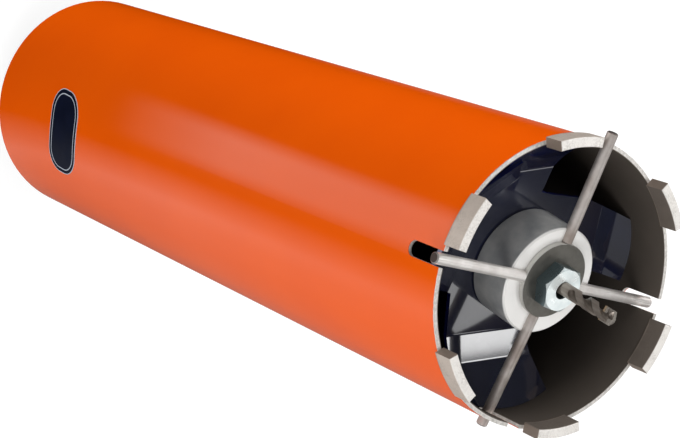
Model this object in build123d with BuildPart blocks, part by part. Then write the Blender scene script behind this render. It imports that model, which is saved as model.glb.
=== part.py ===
# Dry diamond core bit with a clamped centring cross and pilot drill.
# Millimetres. The origin is the centre of the connector's end face, on which the bit stands.
# +Z runs along the barrel to the cutting end; +X passes through the slot of the first rod.

import os
from math import atan2, cos, degrees, radians, sin, sqrt, tan

from build123d import *

# barrel
barrel_diameter = 129.0
barrel_wall = 2.0
barrel_length = 440.0
barrel_edge_round = 0.9
slot_count = 4
slot_width = 7.0
slot_length = 23.0

# diamond segments
segment_count = 6
segment_outer_overhang = 1.5
segment_inner_overhang = 1.0
segment_height = 10.0
segment_arc_length = 24.0
segment_first_angle = 15.0
segment_set_error = (0.8, -0.8, 0.6, 0.8, -0.8, 0.2)
segment_edge = 0.6

# back plate and connector
plate_thickness = 8.0
plate_recess = 1.0
plate_clearance = 0.05
connector_diameter = 50.0
connector_length = 36.0
connector_edge = 1.0
flat_across = 41.0
flat_length = 18.0
flat_start = 12.0
spigot_diameter = 40.0
thread_minor_diameter = 28.2
thread_length = 30.0
through_bore = 22.0
weld_leg = 4.0

# pose of the centring cross: it sits askew in its slots
cross_cant = 11.6
cross_lean_direction = 205.5
cross_shift_y = -1.8
cross_depth = 6.1

# rods
rod_diameter = 5.0
rod_inner_reach = 8.5
rod_chamfer = 0.5
rod_clearance = 0.05
rod_top_angle = 2.1
rod_left_angle = 89.9
rod_bottom_angle = 178.6
rod_right_angle = 269.7
rod_top_protrusion = 5.5
rod_left_protrusion = 6.4
rod_bottom_protrusion = 6.0
rod_right_protrusion = 3.7

# hub
hub_diameter = 50.0
hub_length = 21.2
hub_face_height = -0.3
hub_edge = 0.8

# washers, bolt and nut
washer_diameter = 34.8
washer_bore = 15.4
washer_shift = 1.4
washer_thickness = 2.6
washer_edge = 0.4
bolt_diameter = 12.0
bolt_clearance = 0.2
bolt_across_flats = 19.0
bolt_head_height = 6.8
bolt_head_angle = 25.0
bolt_head_chamfer = 30.0
bolt_end_chamfer = 1.0
bolt_bore = 7.0
bolt_mouth_diameter = 8.2
bolt_mouth_depth = 19.0
rear_washer_diameter = 24.0
rear_washer_thickness = 2.5
nut_across_flats = 19.0
nut_height = 10.0
nut_clearance = 0.05
bolt_end_reach = 2.5

# pilot drill: the set screw pushes it to one side of its bore, so it leans a little
drill_diameter = 6.0
drill_shift = 0.4
drill_lean = 1.65
drill_tip_reach = 40.5
drill_point_angle = 130.0
drill_flute_length = 24.5
drill_flute_overrun = 3.0
drill_pitch = 21.0
drill_flute_radius = 1.9
drill_web = 2.0
drill_rear_reach = -30.0

# carbide tip: plate brazed in a slot across the drill's end
tip_width = 6.6
tip_thickness = 1.6
tip_height = 7.0
tip_proud = 0.2
tip_angle = 169.0

# set screw that pinches the drill
screw_diameter = 6.0
screw_length = 16.0
screw_clearance = 0.05
screw_end_gap = 0.15
screw_socket_across = 3.0
screw_socket_depth = 3.5
screw_angle = 180.0

# centring star: sheet with arms folded up along straight creases to the barrel's inner wall
star_thickness = 2.2
star_ring_radius = 32.5
star_bend_radius = 3.0
star_wall_clearance = 0.3

# each arm: its direction, the distances of its creases from the hub's axis, and how far its two
# outer facets rise, the last one as far as the barrel's wall
arm_top_direction = 18.0
arm_top_creases = (44.0, 50.0)
arm_top_rises = (3.2, 13.8)
arm_top_outline = ((8, 4), (70, 4), (70, 44.7), (52.1, 33.3), (36, 30), (15, 25))
arm_left_direction = 90.0
arm_left_creases = (33.0, 45.0)
arm_left_rises = (4.4, 15.0)
arm_left_outline = ((18, 10), (22, 75), (-14, 75), (-20.9, 30.5), (-20, 10))
arm_bottom_direction = 194.0
arm_bottom_creases = (34.0, 46.0)
arm_bottom_rises = (4.4, 16.0)
arm_bottom_outline = ((0, 15), (-20.9, 30.5), (-44.9, 20.1), (-75, 0), (-75, -52.5), (-26.6, -18.6), (0, -10))
arm_right_direction = 286.0
arm_right_creases = (44.0, 52.0)
arm_right_rises = (2.1, 8.4)
arm_right_outline = ((2.5, -10), (2.5, -75), (28.5, -75), (34.5, -25), (31.9, 3.5), (10, 4))
web_direction = 47.0
web_creases = (40.0, 46.0)
web_rises = (2.0, 12.8)
web_outline = ((10, 0), (44, 27), (30, 42), (16, 46), (0, 33), (0, 10))

barrel_radius = barrel_diameter / 2
barrel_bore_radius = barrel_radius - barrel_wall
barrel_rear = connector_length
rim = barrel_rear + barrel_length
plate_rear = barrel_rear + plate_recess
plate_front = plate_rear + plate_thickness
segment_inner_radius = barrel_bore_radius - segment_inner_overhang
segment_outer_radius = barrel_radius + segment_outer_overhang
rod_radius = rod_diameter / 2
rod_angles = (rod_top_angle, rod_left_angle, rod_bottom_angle, rod_right_angle)
hub_radius = hub_diameter / 2
hub_rear = hub_face_height - hub_length
bolt_radius = bolt_diameter / 2
bolt_hole_radius = bolt_radius + bolt_clearance
washer_radius = washer_diameter / 2
washer_front = hub_face_height + washer_thickness
bolt_face = washer_front + bolt_head_height
star_rear = hub_rear - star_thickness
rear_washer_rear = star_rear - rear_washer_thickness
nut_rear = rear_washer_rear - nut_height
drill_radius = drill_diameter / 2
screw_height = hub_rear + hub_length / 2

# the plane of the rods: its origin is where their axes cross
lean = radians(cross_lean_direction)
cant = radians(cross_cant)
cross_axis = Vector(sin(cant) * cos(lean), sin(cant) * sin(lean), cos(cant))
cross_plane = Plane(
    origin=(0, cross_shift_y, rim - cross_depth),
    x_dir=(Vector(1, 0, 0) - cross_axis * cross_axis.X).normalized(),
    z_dir=cross_axis,
)
cross_line = Axis(cross_plane.origin, cross_axis)

# the drill's own plane leans away from the set screw, and starts level with the cross
push = radians(screw_angle + 180)
drill_side = cross_plane.x_dir * cos(push) + cross_plane.y_dir * sin(push)
drill_axis = cross_axis * cos(radians(drill_lean)) + drill_side * sin(radians(drill_lean))
drill_plane = Plane(
    origin=cross_plane.origin + cross_axis * screw_height + drill_side * drill_shift - drill_axis * screw_height,
    x_dir=(cross_plane.x_dir - drill_axis * cross_plane.x_dir.dot(drill_axis)).normalized(),
    z_dir=drill_axis,
)
drill_line = Axis(drill_plane.origin, drill_axis)


def direction(plane, angle):
    """Unit vector in a plane, at an angle from its X axis."""
    return plane.x_dir * cos(radians(angle)) + plane.y_dir * sin(radians(angle))


def radial_plane(angle, distance):
    """Plane across a rod's axis, looking outwards, with its X axis along the hub's axis."""
    outward = direction(cross_plane, angle)
    return Plane(origin=cross_plane.origin + outward * distance, x_dir=cross_axis, z_dir=outward)


def axial_plane(plane, angle):
    """Plane that holds the axis of another: X runs outwards at the angle and Y along the axis."""
    outward = direction(plane, angle)
    return Plane(origin=plane.origin, x_dir=outward, z_dir=outward.cross(plane.z_dir))


os.makedirs("parts", exist_ok=True)
finished = []


def finish(builder, label):
    """Name the piece and write it as its own file."""
    builder.part.label = label
    export_step(builder.part, f"parts/{label}.step")
    finished.append(label)


# Barrel: thin tube with open-ended slots with round bottoms, cut from the rim
with BuildPart() as barrel:
    with BuildSketch(Plane.XY.offset(barrel_rear)):
        Circle(barrel_radius)
        Circle(barrel_bore_radius, mode=Mode.SUBTRACT)
    extrude(amount=barrel_length)
    rear_edge = barrel.edges().filter_by(GeomType.CIRCLE).group_by(Axis.Z)[0].sort_by(SortBy.RADIUS)[-1]
    fillet(rear_edge, barrel_edge_round)
    for turn in range(slot_count):
        slot_turn = radians(360 / slot_count * turn)
        slot_plane = Plane(
            origin=(0, 0, rim - slot_length + slot_width / 2),
            x_dir=(-sin(slot_turn), cos(slot_turn), 0),
            z_dir=(cos(slot_turn), sin(slot_turn), 0),
        )
        with BuildSketch(slot_plane):
            Circle(slot_width / 2)
            Rectangle(slot_width, slot_length, align=(Align.CENTER, Align.MIN))
        extrude(amount=barrel_diameter, mode=Mode.SUBTRACT)
finish(barrel, "barrel")

# Diamond segments: ring sectors that stand on the rim, a little proud of the tube on both sides
segment_arc = degrees(segment_arc_length / segment_outer_radius)
for number in range(segment_count):
    set_error = segment_set_error[number % len(segment_set_error)]
    segment_angle = segment_first_angle + 360 / segment_count * number + set_error
    with BuildPart() as segment:
        with BuildSketch(Plane.XZ.rotated((0, 0, segment_angle - segment_arc / 2))):
            with Locations((segment_inner_radius, rim)):
                Rectangle(
                    segment_outer_radius - segment_inner_radius,
                    segment_height,
                    align=(Align.MIN, Align.MIN),
                )
        revolve(axis=Axis.Z, revolution_arc=segment_arc)
        fillet(segment.edges().group_by(Axis.Z)[-1], segment_edge)
    finish(segment, f"segment_{number + 1}")

# Back plate: disc let into the rear of the tube, bored for the connector's spigot
with BuildPart() as back_plate:
    with BuildSketch(Plane.XY.offset(plate_rear)):
        Circle(barrel_bore_radius - plate_clearance)
        Circle(spigot_diameter / 2 + plate_clearance, mode=Mode.SUBTRACT)
    extrude(amount=plate_thickness)
finish(back_plate, "back_plate")

# Connector: boss with a female thread, two wrench flats, a spigot and its weld to the plate
with BuildPart() as connector:
    with BuildSketch(Plane.XZ):
        with BuildLine():
            Polyline(
                (thread_minor_diameter / 2, 0),
                (connector_diameter / 2 - connector_edge, 0),
                (connector_diameter / 2, connector_edge),
                (connector_diameter / 2, plate_rear - weld_leg),
                (connector_diameter / 2 + weld_leg, plate_rear),
                (spigot_diameter / 2, plate_rear),
                (spigot_diameter / 2, plate_front),
                (through_bore / 2, plate_front),
                (through_bore / 2, thread_length),
                (thread_minor_diameter / 2, thread_length),
                close=True,
            )
        make_face()
    revolve(axis=Axis.Z)
    with BuildSketch(Plane.XY.offset(flat_start)):
        Circle(connector_diameter)
        Rectangle(flat_across, 2 * connector_diameter, mode=Mode.SUBTRACT)
    extrude(amount=flat_length, mode=Mode.SUBTRACT)
finish(connector, "connector")

# Hub: turned steel, with a round-bottomed groove in its face for each rod
with BuildPart() as hub:
    with BuildSketch(cross_plane.offset(hub_rear)):
        Circle(hub_radius)
        Circle(bolt_hole_radius, mode=Mode.SUBTRACT)
    extrude(amount=hub_length)
    rims = hub.edges().filter_by(GeomType.CIRCLE).filter_by(lambda edge: abs(edge.radius - hub_radius) < 0.01)
    chamfer(rims, hub_edge)
    for angle in rod_angles:
        with BuildSketch(radial_plane(angle, 0)):
            Circle(rod_radius + rod_clearance)
            Rectangle(hub_length, rod_diameter + 2 * rod_clearance, align=(Align.MIN, Align.CENTER))
        extrude(amount=hub_diameter, mode=Mode.SUBTRACT)
    with BuildSketch(radial_plane(screw_angle, 0)):
        with Locations((screw_height, 0)):
            Circle(screw_diameter / 2 + screw_clearance)
    extrude(amount=hub_diameter, mode=Mode.SUBTRACT)
finish(hub, "centring_hub")


def make_rod(label, angle, protrusion):
    """Rod with its inner end cut down level with the hub's face, under the washer."""
    washer_reach = washer_radius + washer_shift * cos(radians(angle))
    with BuildPart() as rod:
        with BuildSketch(radial_plane(angle, rod_inner_reach)):
            Circle(rod_radius)
        extrude(amount=barrel_radius + protrusion - rod_inner_reach)
        chamfer(rod.edges().filter_by(GeomType.CIRCLE), rod_chamfer)
        with BuildSketch(radial_plane(angle, 0)):
            with Locations((hub_face_height - rod_clearance, 0)):
                Rectangle(rod_diameter, rod_diameter, align=(Align.MIN, Align.CENTER))
        extrude(amount=washer_reach + rod_clearance, mode=Mode.SUBTRACT)
    finish(rod, label)


# Rods: one for each slot, with chamfered ends
make_rod("rod_top", rod_top_angle, rod_top_protrusion)
make_rod("rod_left", rod_left_angle, rod_left_protrusion)
make_rod("rod_bottom", rod_bottom_angle, rod_bottom_protrusion)
make_rod("rod_right", rod_right_angle, rod_right_protrusion)

# Washer that clamps the rods in their grooves; its wide bore lets it sit off the axis
with BuildPart() as clamp_washer:
    with BuildSketch(cross_plane.offset(hub_face_height)):
        with Locations((washer_shift, 0)):
            Circle(washer_radius)
            Circle(washer_bore / 2, mode=Mode.SUBTRACT)
    extrude(amount=washer_thickness)
    outer_edges = clamp_washer.edges().filter_by(GeomType.CIRCLE).sort_by(SortBy.RADIUS)[-2:]
    fillet(outer_edges, washer_edge)
finish(clamp_washer, "clamp_washer")

# Hollow bolt: hexagon head with its corners turned off, and a bore with a wide mouth
bolt_shank_end = nut_rear - bolt_end_reach
corner_radius = bolt_across_flats / sqrt(3)
corner_drop = (corner_radius - bolt_across_flats / 2) * tan(radians(bolt_head_chamfer))
with BuildPart() as hollow_bolt:
    with BuildSketch(cross_plane.offset(washer_front)):
        RegularPolygon(bolt_across_flats / 2, 6, major_radius=False, rotation=bolt_head_angle)
    extrude(amount=bolt_head_height)
    with BuildSketch(axial_plane(cross_plane, 0)):
        with BuildLine():
            Polyline(
                (0, washer_front),
                (corner_radius, washer_front),
                (corner_radius, bolt_face - corner_drop),
                (bolt_across_flats / 2, bolt_face),
                (0, bolt_face),
                close=True,
            )
        make_face()
    revolve(axis=cross_line, mode=Mode.INTERSECT)
    with BuildSketch(cross_plane.offset(bolt_shank_end)):
        Circle(bolt_radius)
    extrude(amount=washer_front - bolt_shank_end)
    shank_edge = hollow_bolt.edges().filter_by(GeomType.CIRCLE).sort_by(
        lambda edge: edge.center().dot(cross_axis)
    )[0]
    chamfer(shank_edge, bolt_end_chamfer)
    with BuildSketch(cross_plane.offset(bolt_shank_end)):
        Circle(bolt_bore / 2)
    extrude(amount=bolt_face - bolt_shank_end, mode=Mode.SUBTRACT)
    with BuildSketch(cross_plane.offset(bolt_face - bolt_mouth_depth)):
        Circle(bolt_mouth_diameter / 2)
    extrude(amount=bolt_mouth_depth, mode=Mode.SUBTRACT)
    with BuildSketch(radial_plane(screw_angle, 0)):
        with Locations((screw_height, 0)):
            Circle(screw_diameter / 2 + screw_clearance)
    extrude(amount=2 * bolt_radius, mode=Mode.SUBTRACT)
finish(hollow_bolt, "hollow_bolt")

# Washer and nut behind the star
with BuildPart() as rear_washer:
    with BuildSketch(cross_plane.offset(rear_washer_rear)):
        Circle(rear_washer_diameter / 2)
        Circle(bolt_hole_radius, mode=Mode.SUBTRACT)
    extrude(amount=rear_washer_thickness)
finish(rear_washer, "rear_washer")

with BuildPart() as lock_nut:
    with BuildSketch(cross_plane.offset(nut_rear)):
        RegularPolygon(nut_across_flats / 2, 6, major_radius=False)
        Circle(bolt_radius + nut_clearance, mode=Mode.SUBTRACT)
    extrude(amount=nut_height)
finish(lock_nut, "lock_nut")

# Grub screw through the hub and the bolt's wall, with a hexagon socket
screw_end = drill_radius - drill_shift + screw_end_gap
with BuildPart() as drill_set_screw:
    with BuildSketch(radial_plane(screw_angle, screw_end)):
        with Locations((screw_height, 0)):
            Circle(screw_diameter / 2)
    extrude(amount=screw_length)
    with BuildSketch(radial_plane(screw_angle, screw_end + screw_length)):
        with Locations((screw_height, 0)):
            RegularPolygon(screw_socket_across / 2, 6, major_radius=False)
    extrude(amount=-screw_socket_depth, mode=Mode.SUBTRACT)
finish(drill_set_screw, "drill_set_screw")

# Pilot drill: round shank, two helical flutes and a conical point slotted for the carbide tip
flute_start = drill_tip_reach - drill_flute_length
flute_height = drill_flute_length + drill_flute_overrun
flute_base = drill_plane.origin + drill_axis * flute_start
flute_path = Helix(
    pitch=drill_pitch,
    height=flute_height,
    radius=drill_web / 2 + drill_flute_radius,
    center=flute_base,
    direction=drill_axis,
)
flute_outward = flute_path @ 0 - flute_base
flute_first_angle = degrees(
    atan2(flute_outward.dot(drill_plane.y_dir), flute_outward.dot(drill_plane.x_dir))
)
with BuildPart() as flute_cutter:
    with BuildSketch(Plane(origin=flute_path @ 0, x_dir=flute_outward, z_dir=flute_path % 0)):
        Circle(drill_flute_radius)
    sweep(path=flute_path, is_frenet=True)
    with Locations(flute_path @ 0):
        Sphere(drill_flute_radius)

# the flutes meet the point a quarter turn from the tip's plate
flute_end_angle = tip_angle + 90
flute_turn = flute_end_angle - flute_first_angle - 360 * (drill_flute_length - tip_height / 2) / drill_pitch
tip_slot_base = drill_tip_reach - tip_height
point_height = drill_diameter / 2 / tan(radians(drill_point_angle / 2))
with BuildPart() as pilot_drill:
    with BuildSketch(axial_plane(drill_plane, tip_angle)):
        with BuildLine():
            Polyline(
                (0, drill_rear_reach),
                (drill_radius, drill_rear_reach),
                (drill_radius, drill_tip_reach - point_height),
                (0, drill_tip_reach),
                close=True,
            )
        make_face()
    revolve(axis=drill_line)
    add(flute_cutter.part.rotate(drill_line, flute_turn), mode=Mode.SUBTRACT)
    add(flute_cutter.part.rotate(drill_line, flute_turn + 180), mode=Mode.SUBTRACT)
    with BuildSketch(axial_plane(drill_plane, tip_angle)):
        with Locations((0, tip_slot_base)):
            Rectangle(2 * drill_diameter, 2 * tip_height, align=(Align.CENTER, Align.MIN))
    extrude(amount=tip_thickness / 2, both=True, mode=Mode.SUBTRACT)
finish(pilot_drill, "pilot_drill")

# Carbide tip: roof-shaped plate, slightly wider than the drill and proud of its point
tip_point_height = tip_width / 2 / tan(radians(drill_point_angle / 2))
tip_end = drill_tip_reach + tip_proud
with BuildPart() as drill_tip:
    with BuildSketch(axial_plane(drill_plane, tip_angle)):
        with BuildLine():
            Polyline(
                (-tip_width / 2, tip_slot_base),
                (tip_width / 2, tip_slot_base),
                (tip_width / 2, tip_end - tip_point_height),
                (0, tip_end),
                (-tip_width / 2, tip_end - tip_point_height),
                close=True,
            )
        make_face()
    extrude(amount=tip_thickness / 2, both=True)
finish(drill_tip, "drill_tip")

# Centring star: a flat ring behind the hub, and arms that are folded up along straight creases


def folded_arm(angle, creases, rises, outline):
    """Strip of sheet that rises along two creases square to its direction, cut to its outline."""
    wall = barrel_radius + barrel_wall
    with BuildPart() as arm:
        with BuildSketch(axial_plane(cross_plane, angle)):
            with BuildLine():
                FilletPolyline(
                    (0, hub_rear),
                    (creases[0], hub_rear),
                    (creases[1], hub_rear + rises[0]),
                    (wall, hub_rear + rises[0] + rises[1]),
                    radius=star_bend_radius,
                )
                offset(amount=star_thickness, side=Side.RIGHT)
            make_face()
        extrude(amount=barrel_radius, both=True)
        with BuildSketch(cross_plane.offset(hub_rear - barrel_radius)):
            with BuildLine():
                Polyline(*outline, close=True)
            make_face()
        extrude(amount=barrel_diameter, mode=Mode.INTERSECT)
    return arm.part


arms = [
    folded_arm(arm_top_direction, arm_top_creases, arm_top_rises, arm_top_outline),
    folded_arm(arm_left_direction, arm_left_creases, arm_left_rises, arm_left_outline),
    folded_arm(arm_bottom_direction, arm_bottom_creases, arm_bottom_rises, arm_bottom_outline),
    folded_arm(arm_right_direction, arm_right_creases, arm_right_rises, arm_right_outline),
    folded_arm(web_direction, web_creases, web_rises, web_outline),
]
with BuildPart() as centring_star:
    with BuildSketch(cross_plane.offset(star_rear)):
        Circle(star_ring_radius)
    extrude(amount=star_thickness)
    for arm in arms:
        add(arm)
    with BuildSketch(cross_plane.offset(star_rear - star_thickness)):
        Circle(bolt_hole_radius)
    extrude(amount=3 * star_thickness, mode=Mode.SUBTRACT)
    with BuildSketch(Plane.XY.offset(rim - barrel_diameter)):
        Circle(barrel_bore_radius - star_wall_clearance)
    extrude(amount=barrel_diameter, mode=Mode.INTERSECT)
finish(centring_star, "centring_star")

print(len(finished), "pieces")
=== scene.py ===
from math import copysign, cos, pi, radians, sin

import bmesh
import bpy
from mathutils import Matrix, Vector


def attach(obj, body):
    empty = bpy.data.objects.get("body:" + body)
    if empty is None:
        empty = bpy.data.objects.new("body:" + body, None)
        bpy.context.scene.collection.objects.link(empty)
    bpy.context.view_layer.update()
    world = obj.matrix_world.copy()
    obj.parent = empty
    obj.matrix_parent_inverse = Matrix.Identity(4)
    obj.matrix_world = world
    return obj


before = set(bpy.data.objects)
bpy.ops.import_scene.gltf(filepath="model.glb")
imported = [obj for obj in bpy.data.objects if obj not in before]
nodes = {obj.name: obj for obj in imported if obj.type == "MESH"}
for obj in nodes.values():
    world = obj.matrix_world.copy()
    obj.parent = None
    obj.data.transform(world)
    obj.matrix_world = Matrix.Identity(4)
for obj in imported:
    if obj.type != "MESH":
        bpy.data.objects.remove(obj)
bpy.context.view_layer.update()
print("frame loaded:", len(nodes), "nodes")

# the barrel's ends and radii in metres, and the pose of the cross in its mouth
bit = {
    "rim": 0.476,
    "barrelRear": 0.036,
    "barrelRadius": 0.0645,
    "boreRadius": 0.0625,
    "crossOrigin": (0.0, -0.0018, 0.4699),
    "crossCant": 11.6,  # degrees off the barrel's axis
    "crossLean": 205.5,  # the azimuth that it leans towards
}
lean = radians(bit["crossLean"])
cant = radians(bit["crossCant"])
crossAxis = Vector((sin(cant) * cos(lean), sin(cant) * sin(lean), cos(cant)))
crossX = (Vector((1, 0, 0)) - crossAxis * crossAxis.x).normalized()
crossY = crossAxis.cross(crossX)
crossTurn = Matrix((crossX, crossY, crossAxis)).transposed().to_euler()

# the drill leans a little in the bolt, away from its set screw
drillPose = {
    "lean": 1.65,  # degrees
    "shift": 0.0004,
    "screwHeight": -0.0109,
}
drillTilt = radians(drillPose["lean"])
drillAxis = crossAxis * cos(drillTilt) + crossX * sin(drillTilt)
drillX = (crossX - drillAxis * crossX.dot(drillAxis)).normalized()
drillTurn = Matrix((drillX, drillAxis.cross(drillX), drillAxis)).transposed().to_euler()
drillOrigin = Vector(bit["crossOrigin"]) + (crossAxis - drillAxis) * drillPose["screwHeight"]
drillOrigin = drillOrigin + crossX * drillPose["shift"]


# small helpers for shader nodes


def connect(tree, value, socket):
    # another node's output is linked to the socket, a plain value is set on it
    if isinstance(value, bpy.types.NodeSocket):
        tree.links.new(value, socket)
    else:
        socket.default_value = value


def put(tree, kind, inputs=None, **settings):
    # adds a node with its settings and inputs
    node = tree.nodes.new("ShaderNode" + kind)
    for key, value in settings.items():
        setattr(node, key, value)
    for key, value in (inputs or {}).items():
        connect(tree, value, node.inputs[key])
    return node


def maths(tree, operation, first, second=0.0):
    return put(tree, "Math", {0: first, 1: second}, operation=operation).outputs[0]


def vectorMaths(tree, operation, first, second=(0, 0, 0)):
    # gives a vector, or a value for a length or a dot product
    outputs = put(tree, "VectorMath", {0: first, 1: second}, operation=operation).outputs
    return outputs["Value" if operation in ("LENGTH", "DOT_PRODUCT") else "Vector"]


def ramp(tree, value, low, high, start=0.0, end=1.0):
    # 0 to 1 (or start to end) as the value goes from low to high
    inputs = {"Value": value, "From Min": low, "From Max": high, "To Min": start, "To Max": end}
    return put(tree, "MapRange", inputs, clamp=True).outputs[0]


def falling(tree, value, low, high):
    # 1 to 0 as the value goes from low to high
    return ramp(tree, value, low, high, 1.0, 0.0)


def between(tree, mask, pair):
    # the pair's first value where the mask is 0, its second where the mask is 1
    return ramp(tree, mask, 0, 1, *pair)


def span(start, pair):
    # the pair, measured from the start
    return start + pair[0], start + pair[1]


def blendColors(tree, mask, under, over):
    # under shows where the mask is 0, over where it is 1
    node = put(tree, "Mix", data_type="RGBA")
    for name, value in (("Factor", mask), ("A", under), ("B", over)):
        wanted = "VALUE" if name == "Factor" else "RGBA"
        socket = next(s for s in node.inputs if s.name == name and s.type == wanted)
        connect(tree, (*value, 1) if isinstance(value, tuple) else value, socket)
    return next(s for s in node.outputs if s.type == "RGBA")


def objectSpot(tree):
    return put(tree, "TexCoord").outputs["Object"]


def turnedSpot(tree, origin, turn):
    # object coordinates, centred on the origin and turned with it
    inputs = {"Vector": objectSpot(tree), "Location": origin, "Rotation": turn}
    return put(tree, "Mapping", inputs, vector_type="TEXTURE").outputs[0]


def crossSpot(tree):
    # the cross's middle is the origin and Z is the hub's axis
    return turnedSpot(tree, bit["crossOrigin"], crossTurn)


def drillSpot(tree):
    return turnedSpot(tree, drillOrigin, drillTurn)


def facing(tree, toward):
    # how far the surface looks along a direction: 1 is square to it
    return vectorMaths(tree, "DOT_PRODUCT", put(tree, "NewGeometry").outputs["Normal"], toward)


def radiusOf(tree, spot):
    # distance from the Z axis
    return vectorMaths(tree, "LENGTH", vectorMaths(tree, "MULTIPLY", spot, (1, 1, 0)))


def heightOf(tree, spot):
    return put(tree, "SeparateXYZ", {0: spot}).outputs["Z"]


def emptyMaterial(name):
    material = bpy.data.materials.new(name)
    material.use_nodes = True
    material.node_tree.nodes.clear()
    return material, material.node_tree


def newMaterial(name, **values):
    # a Principled material; constant values go straight on its sockets
    material, tree = emptyMaterial(name)
    surface = put(tree, "BsdfPrincipled")
    put(tree, "OutputMaterial", {"Surface": surface.outputs[0]})
    feed(tree, surface, **values)
    return material, tree, surface


def feed(tree, surface, **sources):
    for key, source in sources.items():
        connect(tree, source, surface.inputs[key.replace("_", " ")])


def bump(tree, surface, height, distance, strength):
    node = put(tree, "Bump", {"Height": height, "Distance": distance, "Strength": strength})
    feed(tree, surface, Normal=node.outputs[0])


def dress(material, *names):
    for name in names:
        for slot in nodes[name].material_slots:
            slot.material = material


# shader groups that several finishes share
patterns = {
    "patchEdges": (0.35, 0.65),
    "patchDetail": 4.0,
    "speckEdges": (0.35, 0.7),
    "gritDetail": 3.0,
    "cellDepth": 0.4,
    "latheDetail": 2.0,
    "scratchEdges": (0.3, 0.7),
    "scratchDetail": 3.0,
}


def newGroup(name, inputs, outputs):
    # inputs and outputs: the kind of each socket by its name; every use sets all inputs
    group = bpy.data.node_groups.new(name, "ShaderNodeTree")
    for way, sockets in (("INPUT", inputs), ("OUTPUT", outputs)):
        for title, kind in sockets.items():
            group.interface.new_socket(title, in_out=way, socket_type="NodeSocket" + kind)
    source = group.nodes.new("NodeGroupInput").outputs
    target = group.nodes.new("NodeGroupOutput").inputs
    return group, source, target


def useGroup(tree, group, inputs):
    return put(tree, "Group", inputs, node_tree=group).outputs


def makeSmudgeGroup():
    # slow uneven patches, as on handled or rolled metal
    group, source, target = newGroup(
        "uneven patches",
        {"Vector": "Vector", "Scale": "Float", "Low": "Float", "High": "Float"},
        {"Value": "Float"},
    )
    inputs = {"Vector": source["Vector"], "Scale": source["Scale"]}
    noise = put(group, "TexNoise", {**inputs, "Detail": patterns["patchDetail"]}).outputs[0]
    value = ramp(group, noise, *patterns["patchEdges"], source["Low"], source["High"])
    group.links.new(value, target["Value"])
    return group


def makeGrainGroup():
    # fine grit: light and dark specks and a rough height
    group, source, target = newGroup(
        "fine grit",
        {"Vector": "Vector", "Scale": "Float"},
        {"Specks": "Float", "Height": "Float"},
    )
    inputs = {"Vector": source["Vector"], "Scale": source["Scale"]}
    cells = put(group, "TexVoronoi", inputs).outputs["Distance"]
    noise = put(group, "TexNoise", {**inputs, "Detail": patterns["gritDetail"]}).outputs[0]
    specks = ramp(group, noise, *patterns["speckEdges"])
    height = maths(group, "SUBTRACT", noise, maths(group, "MULTIPLY", cells, patterns["cellDepth"]))
    group.links.new(specks, target["Specks"])
    group.links.new(height, target["Height"])
    return group


def makeLatheGroup():
    # tool marks of a lathe: rings on a face, lines round a side
    group, source, target = newGroup(
        "lathe marks",
        {"Vector": "Vector", "Pitch": "Float"},
        {"Rings": "Float", "Lines": "Float"},
    )
    spot = source["Vector"]
    for name, place in (("Rings", radiusOf(group, spot)), ("Lines", heightOf(group, spot))):
        turns = maths(group, "DIVIDE", place, source["Pitch"])
        inputs = {"W": turns, "Scale": 1.0, "Detail": patterns["latheDetail"]}
        noise = put(group, "TexNoise", inputs, noise_dimensions="1D")
        group.links.new(noise.outputs[0], target[name])
    return group


def makeScratchGroup():
    # hair-fine marks drawn out along one direction
    group, source, target = newGroup(
        "drawn scratches",
        {"Vector": "Vector", "Stretch": "Vector"},
        {"Marks": "Float"},
    )
    drawn = vectorMaths(group, "MULTIPLY", source["Vector"], source["Stretch"])
    inputs = {"Vector": drawn, "Scale": 1.0, "Detail": patterns["scratchDetail"]}
    noise = put(group, "TexNoise", inputs).outputs[0]
    group.links.new(ramp(group, noise, *patterns["scratchEdges"]), target["Marks"])
    return group


smudges = makeSmudgeGroup()
grit = makeGrainGroup()
latheMarks = makeLatheGroup()
scratches = makeScratchGroup()
print("shader groups made")


def unevenness(tree, spot, scale, low=0.0, high=1.0):
    inputs = {"Vector": spot, "Scale": scale, "Low": low, "High": high}
    return useGroup(tree, smudges, inputs)["Value"]


def gritMarks(tree, spot, scale):
    return useGroup(tree, grit, {"Vector": spot, "Scale": scale})


def flatDirection(tree, spot):
    # points away from the Z axis, square to it
    return vectorMaths(tree, "NORMALIZE", vectorMaths(tree, "MULTIPLY", spot, (1, 1, 0)))


# Barrel: gloss orange outside, bare rim and slot walls, dark mill scale inside with painted shade
# that deepens into the bore
barrelLook = {
    "orange": (0.76, 0.093, 0.0006),
    "orangeDeep": (0.735, 0.087, 0.0006),
    "orangeScale": 18.0,
    "coat": 0.7,
    "coatRoughness": 0.12,
    "specular": 0.0,
    "paintRoughness": (0.3, 0.36),
    "paintScale": 9.0,
    "paintEdge": (0.0640, 0.0643),
    "rearEdge": (0.0008, 0.001),  # from the rear end
    "rimEdge": (-0.0006, -0.0003),  # from the rim
    "raggedScale": 700.0,
    "raggedness": 0.0003,
    "boreEdge": (0.0002, 0.0004),  # from the bore's wall
    # mill scale colours: the dark one also carries the painted shade deep in the bore
    "scale": (0.03, 0.025, 0.021),
    "scaleLight": (0.14, 0.118, 0.10),
    "paintedShadeDepth": 0.11,  # how far below the rim it gets lighter
    "paintedShadePower": 1.6,
    "cloudScale": 30.0,
    "cloud": (0.8, 1.0),
    "bareSteel": (0.80, 0.77, 0.73),
    "bareSteelDull": (0.55, 0.53, 0.5),
    "metallic": (0.45, 0.6),  # mill scale, bare steel
    "metalRoughness": 0.5,
    "bumpScale": 240.0,
    "bumpHeight": 0.00002,
    "bumpStrength": 0.25,
}


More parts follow.
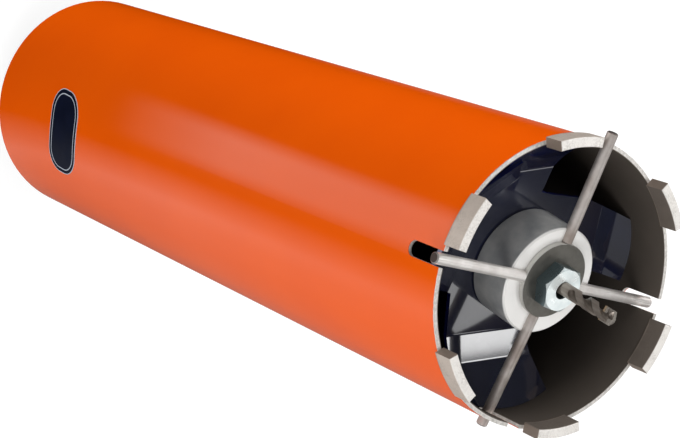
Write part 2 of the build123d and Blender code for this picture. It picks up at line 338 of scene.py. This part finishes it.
def makeBarrelFinish():
    look = barrelLook
    material, tree, surface = newMaterial(
        "barrel finish",
        Coat_Roughness=look["coatRoughness"],
        Specular_IOR_Level=look["specular"],
    )
    spot = objectSpot(tree)
    radius = radiusOf(tree, spot)
    height = heightOf(tree, spot)
    ragged = gritMarks(tree, spot, look["raggedScale"])["Specks"]
    shift = maths(tree, "MULTIPLY", maths(tree, "SUBTRACT", ragged, 0.5), look["raggedness"])
    # paint lies on the outside and wraps round the rear edge
    outside = ramp(tree, radius, *look["paintEdge"])
    rearEdge = falling(tree, height, *span(bit["barrelRear"], look["rearEdge"]))
    notInside = ramp(tree, radius, *span(bit["boreRadius"], look["boreEdge"]))
    painted = maths(tree, "MAXIMUM", outside, maths(tree, "MULTIPLY", rearEdge, notInside))
    belowRim = falling(tree, maths(tree, "ADD", height, shift), *span(bit["rim"], look["rimEdge"]))
    painted = maths(tree, "MULTIPLY", painted, belowRim)
    patches = unevenness(tree, spot, look["orangeScale"])
    paint = blendColors(tree, patches, look["orange"], look["orangeDeep"])
    # inside: dark mill scale with painted shade, darkest deep in the bore and lighter towards the
    # mouth
    mouth = ramp(tree, height, bit["rim"] - look["paintedShadeDepth"], bit["rim"])
    cloud = unevenness(tree, spot, look["cloudScale"], *look["cloud"])
    paintedShadeFade = maths(tree, "MULTIPLY", maths(tree, "POWER", mouth, look["paintedShadePower"]), cloud)
    inside = blendColors(tree, paintedShadeFade, look["scale"], look["scaleLight"])
    bare = blendColors(tree, ragged, look["bareSteel"], look["bareSteelDull"])
    metal = blendColors(tree, notInside, inside, bare)
    unpainted = maths(tree, "SUBTRACT", 1.0, painted)
    metallic = maths(tree, "MULTIPLY", unpainted, between(tree, notInside, look["metallic"]))
    wave = unevenness(tree, spot, look["paintScale"], *look["paintRoughness"])
    feed(
        tree,
        surface,
        Base_Color=blendColors(tree, painted, metal, paint),
        Metallic=metallic,
        Roughness=ramp(tree, painted, 0, 1, look["metalRoughness"], wave),
        Coat_Weight=maths(tree, "MULTIPLY", painted, look["coat"]),
    )
    relief = gritMarks(tree, spot, look["bumpScale"])["Height"]
    bump(tree, surface, relief, look["bumpHeight"], look["bumpStrength"])
    return material


dress(makeBarrelFinish(), "barrel")

# Segments: sintered metal with diamond grit, ground on the outer faces
segmentLook = {
    "side": (0.50, 0.43, 0.375),
    "front": (0.80, 0.77, 0.73),
    "frontFacing": (0.4, 0.8),
    "end": (0.20, 0.155, 0.125),
    "endFacing": (0.4, 0.7),
    "inner": (0.15, 0.125, 0.105),
    "innerRadius": (0.0616, 0.0618),
    "speck": (0.24, 0.2, 0.17),
    "speckWeight": 0.4,
    "seam": (0.26, 0.21, 0.17),
    "seamHeight": 0.0006,
    "seamWeight": 0.7,
    "seamWander": -0.0004,
    "gritScale": 1300.0,
    "patchScale": 190.0,
    "metallic": 0.3,
    "roughness": (0.42, 0.6),
    "bumpHeight": 0.00006,
    "bumpStrength": 0.35,
}


def makeSegmentFinish():
    look = segmentLook
    material, tree, surface = newMaterial("segment matrix", Metallic=look["metallic"])
    spot = objectSpot(tree)
    radius = radiusOf(tree, spot)
    height = heightOf(tree, spot)
    marks = gritMarks(tree, spot, look["gritScale"])
    patches = unevenness(tree, spot, look["patchScale"])
    # ground front, sintered sides, and darker brown ends and bore side
    front = ramp(tree, facing(tree, (0, 0, 1)), *look["frontFacing"])
    sideways = maths(tree, "ABSOLUTE", facing(tree, flatDirection(tree, spot)))
    end = falling(tree, sideways, *look["endFacing"])
    inner = falling(tree, radius, *look["innerRadius"])
    body = blendColors(tree, end, look["side"], look["end"])
    body = blendColors(tree, inner, body, look["inner"])
    body = blendColors(tree, front, body, look["front"])
    specks = maths(tree, "MULTIPLY", marks["Specks"], patches)
    specks = maths(tree, "MULTIPLY", specks, look["speckWeight"])
    body = blendColors(tree, specks, body, look["speck"])
    uneven = maths(tree, "ADD", height, maths(tree, "MULTIPLY", patches, look["seamWander"]))
    seamTop = bit["rim"] + look["seamHeight"]
    seam = ramp(tree, uneven, bit["rim"], seamTop, look["seamWeight"], 0.0)
    feed(tree, surface, Base_Color=blendColors(tree, seam, body, look["seam"]))
    feed(tree, surface, Roughness=between(tree, marks["Specks"], look["roughness"]))
    bump(tree, surface, marks["Height"], look["bumpHeight"], look["bumpStrength"])
    return material


segmentNames = [name for name in nodes if name.startswith("segment_")]
dress(makeSegmentFinish(), *segmentNames)

# Turned steel of the hub: near-white face, and a grey side painted darker partly as shade inside
# the barrel
hubLook = {
    "side": (0.25, 0.26, 0.27),
    "sideLight": (0.44, 0.44, 0.43),
    "sideLine": (0.50, 0.50, 0.50),
    "lineWeight": 0.5,
    "sideRadius": (0.02475, 0.02495),
    "face": (0.82, 0.805, 0.78),
    "faceLine": (0.75, 0.74, 0.72),
    "markPitch": 0.00025,
    "mottleScale": 110.0,
    "patchScale": 70.0,
    "roughness": (0.3, 0.42),
    "metallic": (0.3, 0.25),  # face, side
    "bumpHeight": 0.00003,
    "bumpStrength": 0.5,
}


def makeHubFinish():
    look = hubLook
    material, tree, surface = newMaterial("turned hub steel")
    spot = crossSpot(tree)
    radius = radiusOf(tree, spot)
    side = ramp(tree, radius, *look["sideRadius"])
    marks = useGroup(tree, latheMarks, {"Vector": spot, "Pitch": look["markPitch"]})
    mottle = unevenness(tree, spot, look["mottleScale"])
    # the side's darker greys are partly painted shade
    shadedSideTone = blendColors(tree, mottle, look["side"], look["sideLight"])
    lineMask = maths(tree, "MULTIPLY", marks["Lines"], look["lineWeight"])
    lines = blendColors(tree, lineMask, shadedSideTone, look["sideLine"])
    rings = blendColors(tree, marks["Rings"], look["face"], look["faceLine"])
    feed(tree, surface, Base_Color=blendColors(tree, side, rings, lines))
    feed(tree, surface, Roughness=unevenness(tree, spot, look["patchScale"], *look["roughness"]))
    feed(tree, surface, Metallic=between(tree, side, look["metallic"]))
    relief = ramp(tree, side, 0, 1, marks["Rings"], marks["Lines"])
    bump(tree, surface, relief, look["bumpHeight"], look["bumpStrength"])
    return material


dress(makeHubFinish(), "centring_hub")

# Clamp washer: dark satin steel with a thin bright edge
washerLook = {
    "face": (0.145, 0.138, 0.122),
    "faceLight": (0.19, 0.182, 0.163),
    "patchScale": 220.0,
    "patches": (0.0, 0.7),
    "edge": (0.62, 0.61, 0.58),
    "edgeRadius": (0.0171, 0.0173),
    "shift": 0.0014,  # its middle along the cross's X
    "gritScale": 1100.0,
    "metallic": 0.8,
    "roughness": (0.36, 0.5),
    "bumpHeight": 0.00005,
    "bumpStrength": 0.35,
}


def makeWasherFinish():
    look = washerLook
    material, tree, surface = newMaterial("washer steel", Metallic=look["metallic"])
    spot = crossSpot(tree)
    # its wide bore lets it sit a little off the cross's middle
    radius = radiusOf(tree, vectorMaths(tree, "SUBTRACT", spot, (look["shift"], 0, 0)))
    patches = unevenness(tree, spot, look["patchScale"], *look["patches"])
    face = blendColors(tree, patches, look["face"], look["faceLight"])
    edge = ramp(tree, radius, *look["edgeRadius"])
    feed(tree, surface, Base_Color=blendColors(tree, edge, face, look["edge"]))
    marks = gritMarks(tree, spot, look["gritScale"])
    feed(tree, surface, Roughness=between(tree, marks["Specks"], look["roughness"]))
    bump(tree, surface, marks["Height"], look["bumpHeight"], look["bumpStrength"])
    return material


dress(makeWasherFinish(), "clamp_washer")

# Bolt, nut and rear washer: bluish zinc with painted light on the ends and painted shade on the
# flats, and a thread on the shank
boltLook = {
    "zinc": (0.84, 0.89, 0.88),
    "zincDull": (0.74, 0.81, 0.81),
    "patchScale": 260.0,
    "side": (0.15, 0.20, 0.215),
    "endFacing": (0.7, 0.95),
    "roughness": (0.26, 0.34),
    "metallic": (0.85, 0.45),  # flats, ends
    "shankRadius": (0.0058, 0.0061),
    "shankTop": 0.001,
    "threadPitch": 0.00175,
    "threadHeight": 0.0012,
    "threadStrength": 0.8,
}


def makeZincFinish():
    look = boltLook
    material, tree, surface = newMaterial("blue zinc")
    spot = crossSpot(tree)
    radius = radiusOf(tree, spot)
    height = heightOf(tree, spot)
    patches = unevenness(tree, spot, look["patchScale"])
    bright = blendColors(tree, patches, look["zinc"], look["zincDull"])
    # painted light and shade: the ends facing along the axis get the bright zinc as lit, the flats
    # a dark tone as shaded
    along = maths(tree, "ABSOLUTE", facing(tree, tuple(crossAxis)))
    end = ramp(tree, along, *look["endFacing"])
    feed(tree, surface, Base_Color=blendColors(tree, end, look["side"], bright))
    feed(tree, surface, Roughness=between(tree, patches, look["roughness"]))
    feed(tree, surface, Metallic=between(tree, end, look["metallic"]))
    shank = falling(tree, radius, *look["shankRadius"])
    belowHead = falling(tree, height, 0.0, look["shankTop"])
    turns = maths(tree, "DIVIDE", height, look["threadPitch"])
    ridge = maths(tree, "PINGPONG", turns, 0.5)
    thread = maths(tree, "MULTIPLY", maths(tree, "MULTIPLY", shank, belowHead), ridge)
    bump(tree, surface, thread, look["threadHeight"], look["threadStrength"])
    return material


dress(makeZincFinish(), "hollow_bolt", "rear_washer", "lock_nut")

# Rods: ground round bar with brown patches; the two at the top and bottom have more of them
rodLook = {
    "steel": (0.88, 0.85, 0.82),
    "dull": (0.70, 0.66, 0.63),
    "patchScale": 130.0,
    "patches": (0.0, 0.8),
    "brownPatches": (0.26, 0.195, 0.16),
    "brownScale": 75.0,
    "brownCloud": (0.35, 1.0),
    "brownLittle": 0.08,  # rods to the left and right
    "brownMuch": 0.8,  # rods at the top and bottom
    "sawn": (0.034, 0.017, 0.012),
    "sawnFacing": (0.5, 0.85),
    "sawnWeight": 0.97,
    "metallic": 0.6,
    "roughness": (0.34, 0.42),
}


def makeRodFinish(name, brownWeight):
    look = rodLook
    material, tree, surface = newMaterial(name, Metallic=look["metallic"])
    spot = crossSpot(tree)
    patches = unevenness(tree, spot, look["patchScale"], *look["patches"])
    polished = blendColors(tree, patches, look["steel"], look["dull"])
    cloud = unevenness(tree, spot, look["brownScale"], *look["brownCloud"])
    brownPatches = maths(tree, "MULTIPLY", cloud, brownWeight)
    polished = blendColors(tree, brownPatches, polished, look["brownPatches"])
    # the sawn ends look away from the middle of the cross and are brown
    outward = vectorMaths(tree, "SUBTRACT", objectSpot(tree), bit["crossOrigin"])
    outward = vectorMaths(tree, "NORMALIZE", outward)
    sawn = ramp(tree, facing(tree, outward), *look["sawnFacing"], 0.0, look["sawnWeight"])
    feed(tree, surface, Base_Color=blendColors(tree, sawn, polished, look["sawn"]))
    feed(tree, surface, Roughness=between(tree, patches, look["roughness"]))
    return material


dress(makeRodFinish("rod steel", rodLook["brownLittle"]), "rod_left", "rod_right")
dress(makeRodFinish("rod steel, browner", rodLook["brownMuch"]), "rod_top", "rod_bottom")

# Star: sheet under a deep navy gloss, with bluer cut edges
starLook = {
    "face": (0.006, 0.008, 0.026),
    "faceDeep": (0.004, 0.005, 0.018),
    "patchScale": 40.0,
    "edge": (0.008, 0.016, 0.14),
    "edgeFacing": (0.05, 0.3),
    "coatIor": 1.9,
    "coatRoughness": 0.07,
    "specular": 0.1,
    "hazeScale": 55.0,
    "haze": (0.2, 0.35),
    "bumpScale": 90.0,
    "bumpHeight": 0.00002,
    "bumpStrength": 0.2,
}


def makeStarFinish():
    look = starLook
    material, tree, surface = newMaterial(
        "navy gloss",
        Coat_Weight=1.0,
        Coat_IOR=look["coatIor"],
        Coat_Roughness=look["coatRoughness"],
        Specular_IOR_Level=look["specular"],
    )
    spot = crossSpot(tree)
    # cut edges face sideways: their normal is square to the hub's axis
    along = maths(tree, "ABSOLUTE", facing(tree, tuple(crossAxis)))
    edge = falling(tree, along, *look["edgeFacing"])
    patches = unevenness(tree, spot, look["patchScale"])
    face = blendColors(tree, patches, look["face"], look["faceDeep"])
    feed(tree, surface, Base_Color=blendColors(tree, edge, face, look["edge"]))
    feed(tree, surface, Roughness=unevenness(tree, spot, look["hazeScale"], *look["haze"]))
    relief = gritMarks(tree, spot, look["bumpScale"])["Height"]
    bump(tree, surface, relief, look["bumpHeight"], look["bumpStrength"])
    return material


dress(makeStarFinish(), "centring_star")

# Pilot drill: brownish grey steel, darker in the flutes
drillLook = {
    "land": (0.36, 0.315, 0.275),
    "landDull": (0.27, 0.23, 0.2),
    "landRadius": (0.00205, 0.00285),
    "flute": (0.13, 0.108, 0.09),
    "stretch": (700.0, 700.0, 160.0),
    "metallic": 0.75,
    "roughness": (0.28, 0.45),
    "bumpHeight": 0.00004,
    "bumpStrength": 0.4,
}


def makeDrillFinish():
    look = drillLook
    material, tree, surface = newMaterial("drill steel", Metallic=look["metallic"])
    spot = drillSpot(tree)
    radius = radiusOf(tree, spot)
    land = ramp(tree, radius, *look["landRadius"])
    marks = useGroup(tree, scratches, {"Vector": spot, "Stretch": look["stretch"]})["Marks"]
    steel = blendColors(tree, marks, look["land"], look["landDull"])
    feed(tree, surface, Base_Color=blendColors(tree, land, look["flute"], steel))
    feed(tree, surface, Roughness=between(tree, marks, look["roughness"]))
    bump(tree, surface, marks, look["bumpHeight"], look["bumpStrength"])
    return material


dress(makeDrillFinish(), "pilot_drill")

# Carbide tip: ground plate with a braze tint at its foot
tipLook = {
    "carbide": (0.34, 0.31, 0.275),
    "carbideDull": (0.26, 0.235, 0.205),
    "gritScale": 1500.0,
    "braze": (0.42, 0.27, 0.13),
    "brazeHeight": (0.0337, 0.0352),
    "brazeWeight": 0.7,
    "metallic": 0.5,
    "roughness": (0.25, 0.4),
    "bumpHeight": 0.00003,
    "bumpStrength": 0.3,
}


def makeTipFinish():
    look = tipLook
    material, tree, surface = newMaterial("tip carbide", Metallic=look["metallic"])
    spot = drillSpot(tree)
    height = heightOf(tree, spot)
    marks = gritMarks(tree, spot, look["gritScale"])
    foot = ramp(tree, height, *look["brazeHeight"], look["brazeWeight"], 0.0)
    body = blendColors(tree, marks["Specks"], look["carbide"], look["carbideDull"])
    feed(tree, surface, Base_Color=blendColors(tree, foot, body, look["braze"]))
    feed(tree, surface, Roughness=between(tree, marks["Specks"], look["roughness"]))
    bump(tree, surface, marks["Height"], look["bumpHeight"], look["bumpStrength"])
    return material


dress(makeTipFinish(), "drill_tip")

# Connector: turned steel, threaded in its bore
connectorLook = {
    "steel": (0.34, 0.335, 0.33),
    "steelDull": (0.22, 0.215, 0.21),
    "patchScale": 80.0,
    "markPitch": 0.0004,
    "markWeight": 0.02,
    "boreRadius": (0.0145, 0.0148),
    "threadPitch": 0.003629,
    "threadEnd": (0.029, 0.0295),  # heights over which it runs out
    "threadHeight": 0.003,
    "threadStrength": 0.8,
    "metallic": 0.9,
    "roughness": (0.3, 0.42),
}


def makeConnectorFinish():
    look = connectorLook
    material, tree, surface = newMaterial("connector steel", Metallic=look["metallic"])
    spot = objectSpot(tree)
    radius = radiusOf(tree, spot)
    height = heightOf(tree, spot)
    marks = useGroup(tree, latheMarks, {"Vector": spot, "Pitch": look["markPitch"]})
    patches = unevenness(tree, spot, look["patchScale"])
    feed(tree, surface, Base_Color=blendColors(tree, patches, look["steel"], look["steelDull"]))
    feed(tree, surface, Roughness=between(tree, patches, look["roughness"]))
    # the thread in the bore winds round the axis
    parts = put(tree, "SeparateXYZ", {0: spot}).outputs
    angle = maths(tree, "ARCTAN2", parts["Y"], parts["X"])
    climb = maths(tree, "DIVIDE", height, look["threadPitch"])
    turns = maths(tree, "SUBTRACT", climb, maths(tree, "DIVIDE", angle, 2 * pi))
    ridge = maths(tree, "PINGPONG", turns, 0.5)
    inBore = falling(tree, radius, *look["boreRadius"])
    inBore = maths(tree, "MULTIPLY", inBore, falling(tree, height, *look["threadEnd"]))
    thread = maths(tree, "MULTIPLY", ridge, inBore)
    lines = maths(tree, "MULTIPLY", marks["Lines"], look["markWeight"])
    relief = maths(tree, "ADD", thread, lines)
    bump(tree, surface, relief, look["threadHeight"], look["threadStrength"])
    return material


dress(makeConnectorFinish(), "connector")

# Back plate: rolled steel
plateLook = {
    "steel": (0.09, 0.08, 0.075),
    "steelLight": (0.15, 0.135, 0.125),
    "patchScale": 45.0,
    "gritScale": 500.0,
    "metallic": 0.75,
    "roughness": (0.42, 0.6),
    "bumpHeight": 0.0001,
    "bumpStrength": 0.4,
}


def makePlateFinish():
    look = plateLook
    material, tree, surface = newMaterial("rolled plate steel", Metallic=look["metallic"])
    spot = objectSpot(tree)
    patches = unevenness(tree, spot, look["patchScale"])
    feed(tree, surface, Base_Color=blendColors(tree, patches, look["steel"], look["steelLight"]))
    marks = gritMarks(tree, spot, look["gritScale"])
    feed(tree, surface, Roughness=between(tree, marks["Specks"], look["roughness"]))
    bump(tree, surface, marks["Height"], look["bumpHeight"], look["bumpStrength"])
    return material


dress(makePlateFinish(), "back_plate")

# Set screw: blackened steel
screwLook = {
    "black": (0.03, 0.03, 0.032),
    "blackWorn": (0.06, 0.058, 0.055),
    "patchScale": 300.0,
    "metallic": 0.6,
    "roughness": (0.4, 0.55),
}


def makeScrewFinish():
    look = screwLook
    material, tree, surface = newMaterial("blackened steel", Metallic=look["metallic"])
    patches = unevenness(tree, crossSpot(tree), look["patchScale"])
    feed(tree, surface, Base_Color=blendColors(tree, patches, look["black"], look["blackWorn"]))
    feed(tree, surface, Roughness=between(tree, patches, look["roughness"]))
    return material


dress(makeScrewFinish(), "drill_set_screw")
print("frame finishes made")


# new pieces


def addObject(name, data):
    item = bpy.data.objects.new(name, data)
    bpy.context.scene.collection.objects.link(item)
    return item


def addMesh(name, mesh, material):
    data = bpy.data.meshes.new(name)
    mesh.to_mesh(data)
    mesh.free()
    data.materials.append(material)
    return addObject(name, data)


def newPiece(name, mesh, material):
    piece = addMesh(name, mesh, material)
    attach(piece, "root")


# Label plate: bare rounded plate wrapped round the barrel and bowed a little along it,
# navy with a thin pale line inside its pale edge
labelPlate = {
    "length": 0.049,
    "width": 0.0331,
    "cornerRadius": 0.014,
    "centreHeight": 0.1249,
    "azimuth": 103.37,  # degrees
    "turn": -3.6,  # degrees on the flat plan
    "bow": 10.0,  # drop along the barrel for the square of the run, per metre
    "thickness": 0.00025,
    "edgeWidth": 0.0005,
    "lineInset": 0.0026,
    "lineWidth": 0.0006,
    "lineSoftness": 0.0001,
    "arcSteps": 32,
    "wrapSteps": 40,
    "navy": (0.002, 0.0035, 0.012),
    "navyLight": (0.003, 0.005, 0.016),
    "patchScale": 90.0,
    "line": (0.42, 0.46, 0.52),
    "specular": 0.05,
    "roughness": (0.5, 0.6),
}


def makeLabelFinish():
    look = labelPlate
    material, tree, surface = newMaterial("label plate finish", Specular_IOR_Level=look["specular"])
    spot = put(tree, "UVMap", uv_map="plan").outputs[0]
    # distance from a plain rectangle inside the rounded outline, in metres, on the flat plan
    corner = look["cornerRadius"]
    inset = (look["length"] / 2 - corner, look["width"] / 2 - corner, 0)
    beyond = vectorMaths(tree, "ABSOLUTE", spot)
    beyond = vectorMaths(tree, "SUBTRACT", beyond, inset)
    beyond = vectorMaths(tree, "MAXIMUM", beyond)
    away = vectorMaths(tree, "LENGTH", beyond)
    soft = look["lineSoftness"]
    lineEnd = corner - look["lineInset"]
    lineStart = lineEnd - look["lineWidth"]
    enters = ramp(tree, away, lineStart - soft, lineStart + soft)
    leaves = falling(tree, away, lineEnd - soft, lineEnd + soft)
    edgeStart = corner - look["edgeWidth"]
    edge = ramp(tree, away, edgeStart, edgeStart + soft)
    line = maths(tree, "MAXIMUM", maths(tree, "MULTIPLY", enters, leaves), edge)
    patches = unevenness(tree, objectSpot(tree), look["patchScale"])
    field = blendColors(tree, patches, look["navy"], look["navyLight"])
    feed(tree, surface, Base_Color=blendColors(tree, line, field, look["line"]))
    feed(tree, surface, Roughness=between(tree, patches, look["roughness"]))
    return material


def makeLabelPlate():
    look = labelPlate
    mesh = bmesh.new()
    corner = look["cornerRadius"]
    bmesh.ops.create_circle(mesh, cap_ends=True, radius=corner, segments=2 * look["arcSteps"])
    # a circle turned half a step and drawn apart in four quarters is the rounded outline
    halfStep = Matrix.Rotation(radians(90 / look["arcSteps"]), 3, "Z")
    bmesh.ops.rotate(mesh, verts=mesh.verts[:], cent=(0, 0, 0), matrix=halfStep)
    for vert in mesh.verts:
        vert.co.x += copysign(look["length"] / 2 - corner, vert.co.x)
        vert.co.y += copysign(look["width"] / 2 - corner, vert.co.y)
    turn = Matrix.Rotation(radians(look["turn"]), 3, "Z")
    bmesh.ops.rotate(mesh, verts=mesh.verts[:], cent=(0, 0, 0), matrix=turn)
    # cuts across it let it follow the barrel
    for step in range(1, look["wrapSteps"]):
        across = look["length"] * (step / look["wrapSteps"] - 0.5)
        geometry = mesh.verts[:] + mesh.edges[:] + mesh.faces[:]
        bmesh.ops.bisect_plane(mesh, geom=geometry, plane_co=(across, 0, 0), plane_no=(1, 0, 0))
    plan = mesh.loops.layers.uv.new("plan")
    grown = bmesh.ops.extrude_face_region(mesh, geom=mesh.faces[:])
    raised = [part for part in grown["geom"] if isinstance(part, bmesh.types.BMVert)]
    bmesh.ops.translate(mesh, verts=raised, vec=(0, 0, look["thickness"]))
    unturned = turn.inverted()
    for face in mesh.faces:
        for loop in face.loops:
            loop[plan].uv = (unturned @ loop.vert.co).xy
    # wrapped round the barrel with the bow: X runs round it and Y along it
    for vert in mesh.verts:
        angle = radians(look["azimuth"]) + vert.co.x / bit["barrelRadius"]
        reach = bit["barrelRadius"] + vert.co.z
        height = look["centreHeight"] + vert.co.y - look["bow"] * vert.co.x ** 2
        vert.co = Vector((reach * cos(angle), reach * sin(angle), height))
    bmesh.ops.recalc_face_normals(mesh, faces=mesh.faces[:])
    newPiece("label_plate", mesh, makeLabelFinish())


makeLabelPlate()
print("label plate made")


# the floor is white to the camera; gloss sees it dark, with two bands of light round the foot
floorLook = {
    "size": 12.0,
    "color": (0.36, 0.36, 0.36),
    "glow": 0.7,
    "bandGlow": 1.7,
    # bands: azimuth in degrees and strength; reach: the distance over which they grow
    "farBand": ((58, 0.0), (70, 1.0), (92, 0.85), (104, 0.05), (112, 0.0)),
    "farReach": (0.165, 0.255),
    "nearBand": (
        (110, 0.0), (122, 0.35), (136, 0.7), (150, 0.45), (170, 0.27),
        (190, 0.2), (220, 0.14), (262, 0.14), (290, 0.1), (310, 0.0),
    ),
    "nearReach": (0.1, 0.22),
    "nearGrowth": (0.55, 1.0),
}


def makeBand(tree, azimuth, stops):
    # strength by azimuth, from a few stops in degrees
    node = put(tree, "ValToRGB", {0: maths(tree, "DIVIDE", azimuth, 360.0)})
    elements = node.color_ramp.elements
    elements[0].position = stops[0][0] / 360
    elements[1].position = stops[-1][0] / 360
    for stop in stops[1:-1]:
        elements.new(stop[0] / 360)
    for element, stop in zip(elements, stops):
        element.color = (stop[1], stop[1], stop[1], 1)
    return node.outputs[0]


def makeFloorFinish():
    look = floorLook
    material, tree = emptyMaterial("floor finish")
    path = put(tree, "LightPath").outputs
    spot = objectSpot(tree)
    # azimuth in degrees, from 0 to 360
    opposite = vectorMaths(tree, "MULTIPLY", spot, (-1, -1, -1))
    parts = put(tree, "SeparateXYZ", {0: opposite}).outputs
    turn = maths(tree, "ARCTAN2", parts["Y"], parts["X"])
    azimuth = maths(tree, "ADD", maths(tree, "MULTIPLY", turn, 180 / pi), 180.0)
    distance = radiusOf(tree, spot)
    farGrowth = ramp(tree, distance, *look["farReach"])
    far = maths(tree, "MULTIPLY", makeBand(tree, azimuth, look["farBand"]), farGrowth)
    nearGrowth = ramp(tree, distance, *look["nearReach"], *look["nearGrowth"])
    near = maths(tree, "MULTIPLY", makeBand(tree, azimuth, look["nearBand"]), nearGrowth)
    mirroring = maths(tree, "MAXIMUM", path["Is Glossy Ray"], path["Is Transmission Ray"])
    mirrored = maths(tree, "MULTIPLY", mirroring, maths(tree, "ADD", near, far))
    mirrored = maths(tree, "MULTIPLY", mirrored, look["bandGlow"])
    seen = maths(tree, "MULTIPLY", path["Is Camera Ray"], look["glow"])
    # the matte part is dark to gloss, so that only the bands show there
    matte = put(tree, "BsdfDiffuse", {"Color": (*look["color"], 1)})
    glow = put(tree, "Emission", {"Strength": maths(tree, "ADD", seen, mirrored)})
    both = put(tree, "AddShader", {0: matte.outputs[0], 1: glow.outputs[0]})
    bands = put(tree, "Emission", {"Strength": mirrored})
    inputs = {0: path["Is Glossy Ray"], 1: both.outputs[0], 2: bands.outputs[0]}
    shown = put(tree, "MixShader", inputs)
    put(tree, "OutputMaterial", {"Surface": shown.outputs[0]})
    return material


def makeFloor():
    mesh = bmesh.new()
    bmesh.ops.create_grid(mesh, x_segments=1, y_segments=1, size=floorLook["size"] / 2)
    floor = addMesh("floor", mesh, makeFloorFinish())


# the room is white to the camera and even for matte things; gloss and bare metal see it light
# on the camera's side and dark on the other
room = {
    "seen": 1.0,
    "glow": 0.62,
    "mirrorDark": 0.06,
    "mirrorBright": 0.55,
    "mirrorSplit": (-0.35, 0.3),
}


def makeWorld():
    look = room
    world = bpy.data.worlds.new("studio")
    world.use_nodes = True
    tree = world.node_tree
    tree.nodes.clear()
    path = put(tree, "LightPath").outputs
    direction = put(tree, "TexCoord").outputs["Generated"]
    across = put(tree, "SeparateXYZ", {0: direction}).outputs["Y"]
    mirrored = ramp(tree, across, *look["mirrorSplit"], look["mirrorDark"], look["mirrorBright"])
    unseen = between(tree, path["Is Glossy Ray"], (look["glow"], mirrored))
    strength = between(tree, path["Is Camera Ray"], (unseen, look["seen"]))
    background = put(tree, "Background", {"Color": (1, 1, 1, 1), "Strength": strength})
    put(tree, "OutputWorld", {"Surface": background.outputs[0]})
    bpy.context.scene.world = world


# soft square lamps: place, what each points at, edge length, power, and whether gloss shows it
lamps = {
    "key": {
        "place": (1.86, -0.39, 0.62), "aim": (0, 0, 0.25),
        "size": 1.2, "power": 27.0, "mirrored": False,
    },
    "front": {
        "place": (0.49, 1.84, 0.62), "aim": (0, 0, 0.25),
        "size": 1.2, "power": 12.0, "mirrored": False,
    },
    "fill": {
        "place": (-1.84, 0.49, 0.55), "aim": (0, 0, 0.2),
        "size": 1.2, "power": 10.0, "mirrored": False,
    },
    "mouth": {
        "place": (-0.8, 0.46, 1.25), "aim": (0, 0, 0.46),
        "size": 0.5, "power": 6.5, "mirrored": False,
    },
    "hubPanel": {
        "place": (-0.54, -0.86, 1.15), "aim": (0, 0, 0.476),
        "size": 0.48, "power": 1.2, "mirrored": True,
    },
    "starPanel": {
        "place": (0.2, -0.62, 1.31), "aim": (0, 0, 0.46),
        "size": 0.3, "power": 1.9, "mirrored": True,
    },
    "rodPanel": {
        "place": (0.74, -0.88, 0.72), "aim": (0, 0, 0.47),
        "size": 0.5, "power": 1.4, "mirrored": True,
    },
}


def makeLamps():
    for name, lamp in lamps.items():
        data = bpy.data.lights.new(name, "AREA")
        data.shape = "SQUARE"
        data.size = lamp["size"]
        data.energy = lamp["power"]
        light = addObject(name, data)
        place = Vector(lamp["place"])
        light.location = place
        light.rotation_euler = (Vector(lamp["aim"]) - place).to_track_quat("-Z", "Y").to_euler()
        light.visible_glossy = lamp["mirrored"]


# the camera stands where the photograph was taken from; the picture is 680 by 438
view = {
    "place": (0.06261, 0.53693, 1.04245),
    "right": (0.27555, -0.78649, 0.55272),
    "up": (0.95805, 0.17757, -0.22497),
    "back": (0.07879, 0.59152, 0.80243),
    "lens": 96.48,
    "sensor": 36.0,
}


def makeCamera():
    data = bpy.data.cameras.new("camera")
    data.lens = view["lens"]
    data.sensor_width = view["sensor"]
    camera = addObject("camera", data)
    turn = Matrix((view["right"], view["up"], view["back"])).transposed()
    camera.matrix_world = Matrix.Translation(view["place"]) @ turn.to_4x4()
    bpy.context.scene.camera = camera


makeFloor()
makeWorld()
makeLamps()
makeCamera()
bpy.context.scene.view_settings.view_transform = "Standard"
print("stage, lamps and camera made")
